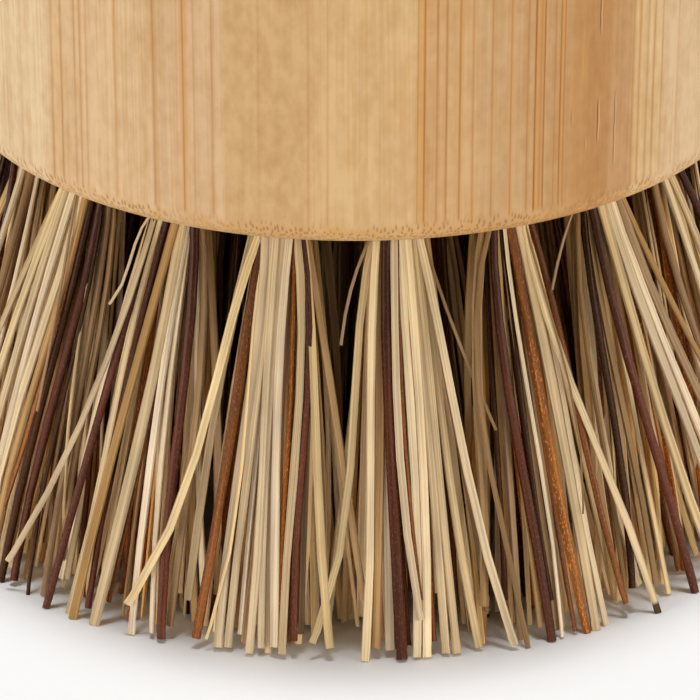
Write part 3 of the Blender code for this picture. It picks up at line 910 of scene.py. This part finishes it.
# Rows of seen fibres, by their tuft's number in the outer ring
C, S, T, O, G, R, P, B = Fibre
SEEN = {
    11: (
        (P, 11, 0.3, 12, 2, 250, -40, 420), (C, 9, 0.0, 21, -5, 260, -70, 420),
        (T, 9, 0.2, 29, 0, 290, -60, 470), (C, 9, 0.4, 38, 10, 300, -40, 480),
    ),
    12: (
        (C, 8, 0.3, 52, 20, 290, -75, 540), (C, 9, 0.1, 60, 8, 344, -50, 548),
        (C, 9, 0.0, 66, 19, 344, -38, 560), (C, 9, 0.0, 73, 30, 340, -24, 562),
        (C, 9, 0.1, 80, 41, 335, 8, 440, -14, 565), (S, 9, 0.1, 85, 53, 325, 24, 420, -8, 560),
        (B, 11, 0.3, 91, 62, 325, 39, 418, 17, 500, 1, 582),
        (R, 6, 0.1, 88, 58, 320, 32, 418, 0, 520), (P, 12, 0.5, 100, 74, 325, 49, 418, 14, 580),
        (B, 5, 0.4, 104, 80, 325, 54, 440, 28, 597),
        (O, 8, 0.9, 110, 96, 300, 74, 418, 56, 520, 44, 596),
        (T, 7, 1.2, 116, 104, 300, 83, 418, 62, 560), (T, 3, -0.3, 74, 55, 322, 37, 411),
    ),
    13: (
        (P, 10, 0.0, 152, 125, 329, 105, 393, 89, 447, 67, 536, 46, 612),
        (C, 6, -0.4, 148, 127, 306, 107, 362, 83, 420, 42, 500, 8, 561),
        (C, 6, 0.2, 160, 132, 329, 112, 418, 90, 530, 68, 614),
        (P, 8, 0.3, 167, 145, 306, 124, 400, 104, 505, 88, 608),
        (S, 9, 0.0, 175, 156, 295, 134, 373, 100, 503, 73, 625),
        (C, 11, 0.0, 182, 165, 317, 148, 400, 124, 503, 94, 627),
        (R, 6, 0.5, 186, 164, 350, 154, 393, 134, 492, 109, 602),
        (C, 8, 0.0, 189, 170, 330, 157, 402, 145, 514, 131, 634),
        (C, 6, 0.1, 194, 172, 370, 165, 402, 157, 536, 152, 633),
        (P, 12, 0.0, 200, 190, 317, 180, 402, 170, 514, 161, 639),
        (T, 8, 0.5, 206, 200, 350, 187, 500, 170, 626), (C, 7, 1.0, 208, 196, 425, 204, 592),
        (C, 3, -0.6, 147, 130, 264, 116, 293, 109, 304),
    ),
    14: (
        (C, 8, -0.4, 251, 229, 329, 212, 405, 194, 465, 173, 514, 127, 604),
        (C, 8, 0.8, 249, 226, 360, 208, 450, 188, 600),
        (R, 11, 0.0, 259, 248, 317, 234, 418, 219, 500, 196, 638),
        (C, 9, 0.1, 265, 257, 340, 248, 413, 232, 514, 218, 647),
        (C, 3, -0.1, 263, 250, 370, 228, 560, 206, 639),
        (C, 8, 0.2, 270, 262, 350, 254, 425, 238, 545, 228, 647),
        (C, 8, 0.0, 276, 270, 306, 266, 418, 258, 536, 249, 653),
        (C, 5, 0.5, 272, 262, 400, 250, 520, 240, 634),
        (C, 7, 0.1, 282, 274, 330, 270, 418, 263, 536, 261, 648),
        (C, 7, 0.4, 284, 276, 370, 268, 653),
        (C, 8, 0.0, 289, 281, 330, 277, 418, 275, 536, 274, 647),
        (G, 6, 0.2, 294, 291, 400, 285, 492, 280, 590, 277, 640),
        (C, 8, 0.0, 298, 301, 330, 299, 418, 290, 514, 282, 654),
        (O, 9, 0.6, 305, 302, 330, 300, 425, 294, 540, 290, 643),
        (P, 9, 0.05, 304, 307, 400, 298, 514, 294, 641),
        (T, 6, 0.7, 307, 308, 420, 303, 540, 301, 634),
        (C, 8, 0.0, 308, 311, 340, 315, 418, 321, 536, 330, 648),
        (T, 7, 0.3, 311, 321, 320, 330, 400, 347, 480, 364, 600),
    ),
    15: (
        (C, 7, 0.0, 366, 362, 317, 354, 418, 343, 530, 312, 643),
        (C, 8, 0.0, 372, 373, 350, 370, 470, 365, 661),
        (S, 9, 0.3, 378, 380, 350, 379, 500, 376, 648),
        (C, 9, 0.4, 383, 384, 350, 387, 500, 390, 650),
        (P, 14, 0.0, 387, 387, 329, 389, 390, 392, 470, 397, 560, 402, 659),
        (P, 6, 0.4, 392, 394, 420, 401, 540, 409, 645),
        (C, 7, -0.25, 394, 397, 400, 405, 514, 421, 620),
        (R, 5, -0.12, 397, 402, 400, 409, 492, 421, 600),
        (C, 8, 0.0, 399, 405, 329, 410, 402, 417, 536, 417, 657),
        (C, 8, 0.0, 406, 414, 329, 419, 402, 425, 514, 427, 657),
        (C, 8, 0.1, 411, 419, 329, 427, 402, 435, 514, 446, 653),
        (R, 6, 0.4, 410, 424, 420, 430, 560, 434, 641),
        (C, 8, 0.1, 416, 426, 329, 433, 425, 446, 536, 457, 653),
        (C, 8, 0.3, 421, 432, 329, 441, 420, 457, 525, 479, 647),
        (C, 8, -0.2, 424, 440, 329, 454, 418, 484, 536, 515, 645),
        (O, 3, 0.2, 427, 446, 313, 470, 366, 496, 430),
        (T, 5, 0.9, 425, 450, 400, 470, 500, 487, 611), (T, 3, -0.3, 362, 352, 300, 341, 345),
    ),
    16: (
        (T, 11, 0.2, 476, 478, 329, 480, 400, 481, 500, 484, 606),
        (B, 7, 0.7, 484, 490, 329, 497, 450, 505, 600),
        (P, 11, 0.0, 492, 502, 329, 508, 400, 529, 500, 552, 641),
        (T, 5, -0.2, 487, 484, 400, 484, 483, 515, 554, 528, 649),
        (T, 7, 0.5, 495, 504, 400, 514, 540, 520, 640),
        (B, 9, 0.3, 501, 513, 329, 523, 425, 540, 530, 550, 600),
        (S, 6, 0.3, 500, 510, 400, 522, 480, 540, 627),
        (O, 8, 0.3, 504, 517, 360, 530, 440, 545, 540, 556, 630),
        (C, 4, 0.0, 505, 517, 329, 533, 418, 549, 520, 562, 637),
        (R, 6, 0.1, 509, 525, 329, 541, 418, 556, 520, 575, 631),
        (G, 11, 0.0, 511, 529, 329, 547, 430, 565, 530, 587, 633),
        (C, 10, 0.0, 519, 541, 329, 558, 418, 575, 505, 596, 630),
        (R, 8, 0.1, 532, 551, 284, 566, 373, 586, 450, 603, 514, 626, 603),
        (C, 7, 0.2, 523, 551, 340, 572, 440, 592, 570, 606, 627),
        (C, 7, -0.3, 528, 555, 340, 575, 395, 597, 447, 629, 525, 658, 617),
        (O, 2, -0.42, 529, 556, 340, 573, 390, 579, 440, 583, 514),
    ),
    17: (
        (T, 6, 0.3, 571, 587, 329, 599, 418, 616, 536, 626, 602),
        (B, 10, 0.3, 578, 597, 306, 611, 402, 624, 492, 632, 588),
        (T, 7, 0.4, 585, 607, 329, 626, 425, 642, 500, 656, 585),
        (P, 12, 0.0, 592, 614, 306, 644, 413, 664, 480, 695, 593),
        (C, 10, 0.0, 602, 630, 306, 662, 418, 700, 525, 720, 590),
        (C, 9, 0.0, 609, 643, 310, 682, 410, 735, 565),
        (C, 9, 0.1, 614, 655, 320, 698, 425, 748, 560),
        (T, 9, 0.0, 620, 665, 320, 712, 420, 765, 545),
        (S, 6, -0.2, 625, 680, 320, 740, 430, 790, 520), (T, 3, -0.2, 569, 560, 262, 552, 290),
    ),
    18: (
        (O, 9, 0.4, 652, 680, 280, 710, 380, 740, 480),
        (C, 9, 0.1, 664, 700, 280, 740, 400, 770, 480),
        (C, 9, 0.0, 672, 706, 260, 750, 370, 790, 460),
        (P, 11, 0.2, 681, 700, 212, 740, 300, 800, 440),
    ),
}


@dataclass
class FibreTufts:
    """The tufts: fibres packed in each hole that fan out towards the floor. Rests are the
    shares of a fibre's length where its path has points. A tone is a share of red, green and
    blue. What starts with rear moves the roots of fibres by chance behind the listed ones.
    The rim arc is where the head's lower edge passes in the photograph's pixels: its middle and
    half width across, its lowest point and how far its ends would rise."""

    layout: TuftLayout
    view: PhotoView
    ring_seeds: int = 1000
    seen_seed: int = 7
    packed: float = 1.62 * MM
    spread_out: float = 3.1 * MM
    spread_round: float = 4.3 * MM
    looseness: float = 0.20
    inner_spread: float = 0.85
    buried: float = 2.5 * MM
    bow: float = 0.42 * MM
    long_share: float = 0.62
    trim: float = 0.012
    shortest: float = 0.12
    short_power: float = 1.6
    rear_cut: float = 0.9
    rear_share: float = 0.72
    rear_shift: float = 0.28
    random_widths: Pair = (0.52, 1.08)
    random_roll: float = 0.55
    seen_roll: float = 0.16
    random_variety: float = 0.36
    seen_variety: float = 0.20
    twist: float = 0.35
    swell: float = 0.05
    thickest: float = 1.2
    front_foot: float = 29.5 * MM
    front_top: float = 22.0 * MM
    rim_arc: tuple[float, float, float, float] = (354.0, 400.0, 241.8, 164.0)
    pixels_per_mm: Pair = (16.0, 19.0)
    end_weight: float = 6.0
    rests: tuple[float, ...] = (0.0, 0.11, 0.24, 0.40, 0.58, 0.78, 0.97, 0.978, 1.0)
    toned_by: float = 0.55
    # Painted shade: fibres darker near the rim, where the head and other tufts shade them
    painted_root_shade: Triple = (0.59, 0.455, 0.26)
    tip_tone: Triple = (1.57, 1.56, 1.53)
    # Painted shade: inner rings darker, as they stand in the outer ring's shade
    painted_inner_shade: Triple = (0.42, 0.33, 0.21)
    # Painted shade: fibres by chance behind the listed ones darker
    painted_rear_shade: Triple = (0.98, 0.92, 0.83)
    coarse_tone: Triple = (0.84, 0.76, 0.64)
    burnt_tone: Triple = (0.10, 0.08, 0.06)
    # Painted shade: listed fibres darker towards the rim, the coarse ones much more
    seen_tones: tuple[Triple, Triple] = ((0.83, 0.79, 0.73), (0.94, 0.915, 0.93))
    seen_coarse_tones: tuple[Triple, Triple] = ((0.42, 0.36, 0.40), (1.20, 1.16, 1.10))
    fade_powers: Triple = (1.0, 1.2, 1.6)
    warmth: Triple = (0.0, 0.25, 1.2)
    warmth_spread: float = 0.08
    noise_steps: Triple = (3.7, 0.61, 0.4)
    flat_edge: float = 0.88

    def tone_along(self, root: Triple, tip: Triple, count: int) -> np.ndarray:
        """Tones that turn smoothly from root's to tip's over the upper part of the fibre: with
        u the share of that part, root + (tip - root) u u (3 - 2 u)."""
        u = np.minimum(np.array([0.0, *self.rests]) / self.toned_by, 1.0)[:, None]
        tone = np.array(root) + (np.array(tip) - np.array(root)) * u * u * (3 - 2 * u)
        return np.repeat(tone[None], count, 0)

    def with_root(self, path: np.ndarray, hole: Matrix) -> np.ndarray:
        """Paths with one more point each, up the hole."""
        up = np.array(hole.to_3x3())[:, 2]
        return np.concatenate([path[:, :1] + up * self.buried, path], 1)

    def random_strands(self, ring: int, number: int, hole: Matrix, count: int,
                       rear: bool) -> Strands:
        """Fibres of a tuft by chance: roots on a sunflower spiral in the hole, tips on the same
        spiral spread wide, and a path that bows a little: root + (tip - root) t + bow 4 t (1 - t).

        Args:
            ring: the tuft's ring.
            number: its number in the ring.
            hole: its frame.
            count: how many fibres.
            rear: whether to leave the tuft's front to the listed fibres.

        Returns:
            The fibres.
        """
        chance = np.random.default_rng(self.ring_seeds * ring + number)
        turn = np.arange(count) * math.pi * (3 - math.sqrt(5)) + chance.uniform(0, 2 * math.pi)
        out = np.sqrt((np.arange(count) + 0.5) / count)
        spot = np.stack([out * np.cos(turn), out * np.sin(turn)], -1)
        if rear:
            spot[:, 0] = np.minimum(spot[:, 0], self.rear_cut) * self.rear_share - self.rear_shift
        middle = np.array(hole.translation)
        lone = self.layout.rings[ring].count == 1
        away = np.array([1.0, 0.0, 0.0]) if lone else np.array([middle[0], middle[1], 0.0])
        away /= np.linalg.norm(away)
        round_ = np.array([-away[1], away[0], 0.0])
        root = middle + (spot[:, :1] * away + spot[:, 1:] * round_) * self.packed
        loose = spot + chance.normal(0.0, self.looseness, spot.shape)
        foot = middle * np.array([self.layout.flare, self.layout.flare, 0.0])
        tip = foot + (loose[:, :1] * away * self.spread_out
                      + loose[:, 1:] * round_ * self.spread_round) * (
                          1.0 if ring == 0 else self.inner_spread)
        short = np.where(chance.random(count) < self.long_share,
                         chance.random(count) * self.trim,
                         chance.random(count) ** self.short_power * self.shortest)
        tip = root + (tip - root) * (1 - short)[:, None]
        bow = chance.normal(0.0, self.bow, (count, 3)) * np.array([1, 1, 0.0])
        t = np.array(self.rests)[None, :, None]
        path = root[:, None] + (tip - root)[:, None] * t + bow[:, None] * 4 * t * (1 - t)
        shares = np.array([kind.value.share for kind in Fibre])
        picks = chance.choice(len(shares), count, p=shares / shares.sum())
        # The tone from root to tip paints shade: darker towards the rim
        strands = Strands(
            self.with_root(path, hole), np.array(list(Fibre))[picks],
            chance.uniform(*self.random_widths, count),
            chance.normal(0.0, self.random_roll, count),
            self.tone_along(self.painted_root_shade, self.tip_tone, count),
            np.full(count, self.random_variety))
        strands.tone[strands.coarse] *= self.coarse_tone
        # Painted shade: the inner rings' fibres darker
        if ring:
            strands.tone *= self.painted_inner_shade
        # Painted shade: fibres behind the listed ones darker
        if rear:
            strands.tone *= self.painted_rear_shade
        return strands

    def seen_path(self, seen: SeenFibre, middle: np.ndarray) -> np.ndarray:
        """The path of a listed fibre. It passes where the lines from the camera through
        its pixels meet the cone of the tuft's front, and a cubic in its own length smooths it.

        Args:
            seen: the fibre.
            middle: the middle of its hole's mouth.

        Returns:
            The path's points.
        """
        centre, half, low, depth = self.rim_arc
        slope = (self.front_top - self.front_foot) / self.layout.body.face_height
        drop = 1 - math.sqrt(1 - ((seen.rim - centre) / half) ** 2)
        pixels = np.array([seen.rim, low - depth * drop, *seen.places], float).reshape(-1, 2)
        points = self.view.on_cone(pixels, self.front_foot - seen.inset * MM, slope)
        points[:, 2] = np.maximum(points[:, 2], 0.0)
        leave = points[0] + (points[0] - points[1]) * (
            (middle[2] - points[0, 2]) / (points[0, 2] - points[1, 2]))
        side = leave - middle
        side[2] = 0.0
        side *= min(1.0, self.packed / max(np.linalg.norm(side), 1e-9))
        points = np.concatenate([[middle + side], points])
        steps = np.linalg.norm(np.diff(points, axis=0), axis=1)
        along = np.concatenate([[0.0], np.cumsum(steps)]) / steps.sum()
        weight = np.ones(len(points))
        weight[[0, -1]] = self.end_weight
        curve = np.polynomial.polynomial.polyfit(along, points, min(3, len(points) - 2), w=weight)
        return np.polynomial.polynomial.polyval(self.rests, curve).T

    def seen_strands(self, number: int, hole: Matrix) -> Strands | None:
        """The listed fibres in one tuft of the outer ring.

        Args:
            number: the tuft's number in the ring.
            hole: its frame.

        Returns:
            The fibres, or None where the tuft has none.
        """
        mine = [SeenFibre.of(row) for row in SEEN.get(number, ())]
        if not mine:
            return None
        middle = np.array(hole.translation)
        path = np.array([self.seen_path(seen, middle) for seen in mine])
        path[..., 2] = np.maximum(path[..., 2], 0.0)
        chance = np.random.default_rng(self.seen_seed + number)
        # The tones from root to tip paint shade: darker towards the rim
        strands = Strands(
            self.with_root(path, hole), np.array([seen.kind for seen in mine]),
            np.array([seen.width / seen.kind.value.width for seen in mine]),
            chance.normal(0.0, self.seen_roll, len(mine)),
            self.tone_along(*self.seen_tones, len(mine)),
            np.full(len(mine), self.seen_variety))
        strands.width /= np.where(strands.coarse, *self.pixels_per_mm[::-1])
        strands.tone[strands.coarse] = self.tone_along(*self.seen_coarse_tones, 1)[0]
        strands.tone[[seen.rim == BURNT_AT for seen in mine], -2:] = self.burnt_tone
        return strands

    def skin(self, strands: Strands, away: np.ndarray,
             chance: np.random.Generator) -> tuple[np.ndarray, np.ndarray]:
        """Carries a six-sided section along every path: point = path + side width cx / 2 +
        face thickness cy / 2, where side and face are square to the path and roll about it.

        Args:
            strands: the fibres.
            away: the direction that the tuft leans to.
            chance: where the twist and the swelling come from.

        Returns:
            The points, by fibre, point of its path and corner, and each fibre's section, as cx
            and cy of its corners from -1 to 1.
        """
        count, rings = strands.path.shape[:2]
        along = unit(np.gradient(strands.path, axis=1))
        side = unit(np.cross(along, away))
        face = np.cross(side, along)
        twist = strands.roll[:, None] + np.linspace(-0.5, 0.5, rings) * chance.normal(
            0.0, self.twist, (count, 1))
        turned = side * np.cos(twist)[..., None] + face * np.sin(twist)[..., None]
        raised = face * np.cos(twist)[..., None] - side * np.sin(twist)[..., None]

        angle = np.arange(CORNERS) * (2 * math.pi / CORNERS)
        round_ = np.stack([np.cos(angle), np.sin(angle)], -1)
        e = self.flat_edge
        flat = np.array([(1, 0), (e, 1), (-e, 1), (-1, 0), (-e, -1), (e, -1.0)])
        softness = strands.trait("roundness")[:, None, None]
        section = flat * (1 - softness) + round_ * softness
        wide = strands.trait("width") * strands.width * MM
        thick = strands.trait("thickness") * MM * np.minimum(strands.width, self.thickest)
        swell = 1 + chance.normal(0.0, self.swell, (count, rings))
        across = section[:, None, :, 0] * (wide[:, None] * swell)[..., None] / 2
        over = section[:, None, :, 1] * (thick[:, None] * swell)[..., None] / 2
        points = (strands.path[:, :, None] + turned[:, :, None] * across[..., None]
                  + raised[:, :, None] * over[..., None])
        points[..., 2] = np.maximum(points[..., 2], 0.0)
        return points, section

    def paint(self, mesh: Mesh, strands: Strands, section: np.ndarray,
              chance: np.random.Generator, seed: int) -> None:
        """Gives a mesh the attributes that the finish reads.

        Args:
            mesh: the tuft's mesh.
            strands: its fibres.
            section: the corners of each one's section.
            chance: where the colours' differences come from.
            seed: a number that keeps the tufts' noise apart.
        """
        path = strands.path
        count, rings = path.shape[:2]
        shape = (count, rings, CORNERS)
        colour = np.array([linear(kind.value.colour) for kind in strands.kinds])
        warmth = chance.normal(0.0, self.warmth_spread, (count, 1)) * np.array([self.warmth])
        luck = chance.uniform(-1.0, 1.0, (count, 1)) * strands.variety[:, None]
        colour = colour * (1 + luck) ** np.array([self.fade_powers]) * (1 + warmth)
        colour = colour[:, None] * strands.tone
        colour /= np.maximum(colour.max(-1, keepdims=True), 1.0)
        colour = np.repeat(colour[:, :, None], CORNERS, 2)
        steps = np.linalg.norm(np.diff(path, axis=1), axis=-1)
        length = np.concatenate([np.zeros((count, 1)), np.cumsum(steps, 1)], 1)[..., None] / MM
        next_fibre, next_tuft, other_face = self.noise_steps
        tag = (np.arange(count) * next_fibre + seed * next_tuft)[:, None, None]
        run = [section[:, None, :, 0], length, tag + section[:, None, :, 1] * other_face]
        traits = [strands.trait(name)[:, None, None] for name in ("speckle", "roughness", "ridges")]
        tint = mesh.attributes.new("colour", "FLOAT_COLOR", "POINT")
        tint.data.foreach_set("color", np.concatenate([colour, np.ones((*shape, 1))], -1).ravel())
        for title, values in (("traits", traits), ("run", run)):
            vectors = np.stack([np.broadcast_to(value, shape) for value in values], -1)
            mesh.attributes.new(title, "FLOAT_VECTOR", "POINT").data.foreach_set(
                "vector", vectors.ravel())

    def surface(self, name: str, strands: Strands, away: np.ndarray, seed: int) -> Mesh:
        """Makes the fibres' mesh. The long edges of flat fibres are crisp.

        Args:
            name: the mesh's name.
            strands: the fibres.
            away: the direction that the tuft leans to.
            seed: what its chances start from.

        Returns:
            The mesh, with its attributes.
        """
        chance = np.random.default_rng(seed)
        count, rings = strands.path.shape[:2]
        points, section = self.skin(strands, away, chance)
        first = (np.arange(count) * rings * CORNERS)[:, None, None]
        walls = (first + round_walls(rings, CORNERS)).reshape(-1, 4)
        caps = first[:, 0] + np.arange(CORNERS)
        ends = caps[:, ::-1] + (rings - 1) * CORNERS
        mesh = bpy.data.meshes.new(name)
        mesh.from_pydata(points.reshape(-1, 3).tolist(), [],
                         walls.tolist() + caps.tolist() + ends.tolist())
        mesh.polygons.foreach_set("use_smooth", np.arange(len(mesh.polygons)) < len(walls))
        ends_of = np.empty(len(mesh.edges) * 2, np.int32)
        mesh.edges.foreach_get("vertices", ends_of)
        one, two = ends_of.reshape(-1, 2).T
        flat = strands.trait("roundness")[one // (rings * CORNERS)] < CRISP_BELOW
        mesh.attributes.new("sharp_edge", "BOOLEAN", "EDGE").data.foreach_set(
            "value", flat & (one % CORNERS == two % CORNERS))
        self.paint(mesh, strands, section, chance, seed)
        return mesh

    def build(self, finish: Material) -> list[Object]:
        """Makes a piece for each tuft.

        Args:
            finish: the fibres' material.

        Returns:
            The pieces.
        """
        made = []
        for index, (ring, number, hole) in enumerate(self.layout.holes()):
            seen = self.seen_strands(number, hole) if ring == 0 else None
            count = self.layout.rings[ring].fibres - (len(seen.kinds) // 2 if seen else 0)
            strands = self.random_strands(ring, number, hole, count, seen is not None)
            if seen:
                strands = strands.joined(seen)
            label = self.layout.label(ring, number)
            middle = np.array(hole.translation)
            lone = self.layout.rings[ring].count == 1
            away = np.array([0.0, -1.0, 0.0]) if lone else np.array([middle[0], middle[1], 0.0])
            mesh = self.surface(f"fibres_{label}", strands, away / np.linalg.norm(away), index)
            mesh.materials.append(finish)
            piece = placed(f"fibres_{label}", mesh)
            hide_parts(f"tuft_{label}")
            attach(piece, "root")
            made.append(piece)
        return made


def dress_anchors(finish: Material) -> int:
    """Gives the anchors' nodes their steel, and returns how many there are."""
    anchors = [node for name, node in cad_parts.items() if name.startswith("anchor_")]
    for node in anchors:
        if not node.material_slots:
            node.data.materials.append(finish)
        for slot in node.material_slots:
            slot.material = finish
    return len(anchors)


def main() -> None:
    """Builds the studio and the brush, and reports each piece."""
    logging.basicConfig(level=logging.INFO, format="%(message)s")
    view = PhotoView()
    view.build()
    Studio().build()
    bamboo = BambooBody()
    layout = TuftLayout(bamboo)
    body = bamboo.build(layout, BambooFinish().material())
    LOG.info("%s: %d faces", body.name, len(body.data.polygons))
    tufts = FibreTufts(layout, view).build(FibreFinish().material())
    LOG.info("%d tufts: %d faces", len(tufts), sum(len(t.data.polygons) for t in tufts))
    LOG.info("%d anchors dressed", dress_anchors(SteelFinish().material()))


if __name__ == "__main__":
    main()
